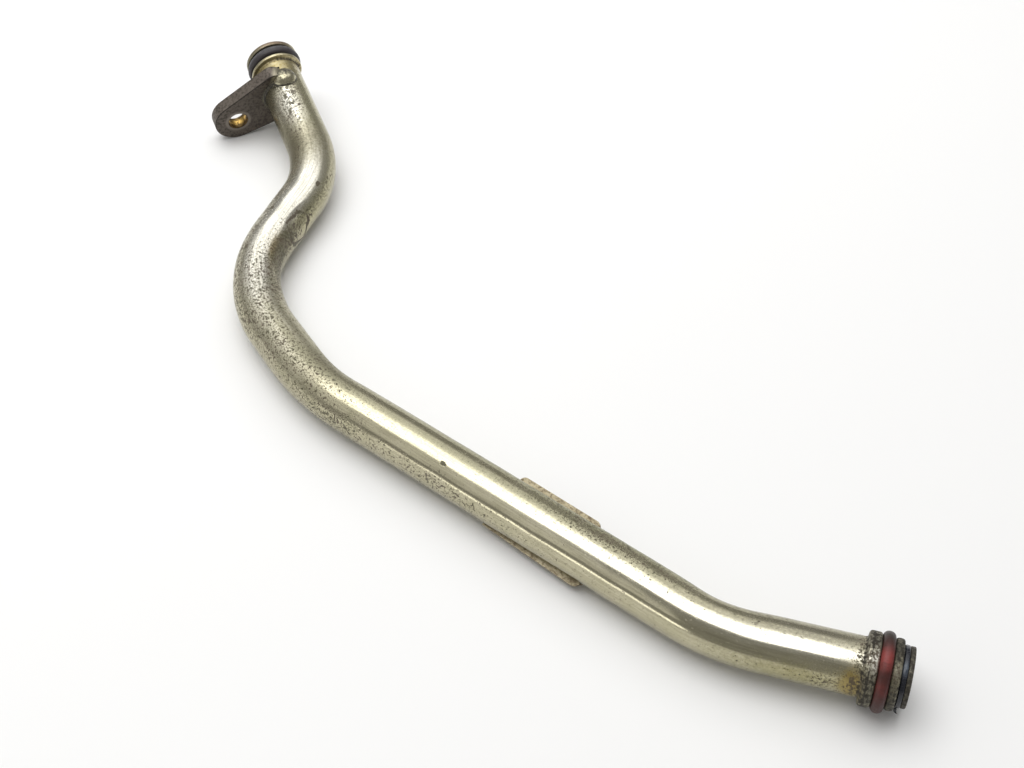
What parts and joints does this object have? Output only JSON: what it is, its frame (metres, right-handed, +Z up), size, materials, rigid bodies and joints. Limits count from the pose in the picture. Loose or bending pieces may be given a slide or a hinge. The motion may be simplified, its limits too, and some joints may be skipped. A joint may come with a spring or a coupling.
{
  "type": "turbo oil line",
  "caption": "Bent steel oil return tube for a turbocharger, with rolled spigots, O-rings, a brazed bolt ear at one end and a pressed saddle under its long straight run.",
  "frame": {"origin": "middle of the part's box in plan, at the surface that the line rests on", "axes": "+X along the long straight run towards the end with the red O-ring, +Z up from the surface"},
  "size_m": [0.313, 0.1194, 0.0284],
  "materials": {
    "plated_steel": "worn yellowish zinc plating, pitted",
    "ear_steel": "dark oily steel with worn edges",
    "copper_braze": "dull copper",
    "saddle_steel": "tan plated sheet",
    "black_rubber": "satin black rubber",
    "red_rubber": "oily red rubber"
  },
  "bodies": {
    "root": {"pipe": "plated_steel", "mounting_ear": "ear_steel", "ear_braze": "copper_braze", "saddle": "saddle_steel", "upper_o_ring": "black_rubber", "lower_o_ring": "red_rubber", "lower_lip_seal": "black_rubber"}
  },
  "joints": []
}
